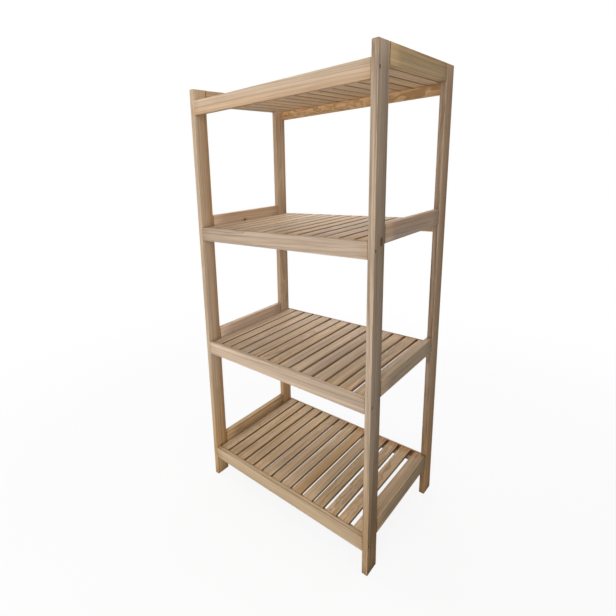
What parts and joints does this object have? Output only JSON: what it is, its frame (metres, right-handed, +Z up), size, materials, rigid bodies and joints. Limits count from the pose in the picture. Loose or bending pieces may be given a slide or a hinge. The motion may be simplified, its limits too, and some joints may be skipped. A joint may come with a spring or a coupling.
{
  "type": "wooden shelving unit",
  "caption": "Free-standing open shelving unit in unfinished pine: flat upright posts, end rails as side lips, front and back rails, and slatted decks whose slats run front to back.",
  "frame": {"origin": "on the floor, at the middle of the four feet", "axes": "+Z up, +X to the right along the width, -Y towards the front"},
  "size_m": [0.6, 0.445, 1.34],
  "materials": {
    "post_pine": "planed, unfinished",
    "end_rail_pine": "planed, unfinished",
    "rail_pine": "planed, unfinished",
    "cleat_pine": "planed, unfinished",
    "slat_pine": "planed, unfinished",
    "screw_steel": "dark phosphate"
  },
  "bodies": {
    "root": {"front_left_post": "post_pine", "front_right_post": "post_pine", "back_left_post": "post_pine", "back_right_post": "post_pine", "left_end_rail_1": "end_rail_pine", "left_end_rail_2": "end_rail_pine", "left_end_rail_3": "end_rail_pine", "left_end_rail_4": "end_rail_pine", "right_end_rail_1": "end_rail_pine", "right_end_rail_2": "end_rail_pine", "right_end_rail_3": "end_rail_pine", "right_end_rail_4": "end_rail_pine", "front_rail_1": "rail_pine", "front_rail_2": "rail_pine", "front_rail_3": "rail_pine", "front_rail_4": "rail_pine", "back_rail_1": "rail_pine", "back_rail_2": "rail_pine", "back_rail_3": "rail_pine", "back_rail_4": "rail_pine", "front_cleat_1": "cleat_pine", "front_cleat_2": "cleat_pine", "front_cleat_3": "cleat_pine", "front_cleat_4": "cleat_pine", "deck_slats_1": "slat_pine", "deck_slats_2": "slat_pine", "deck_slats_3": "slat_pine", "deck_slats_4": "slat_pine", "rail_screws": "screw_steel"}
  },
  "joints": []
}
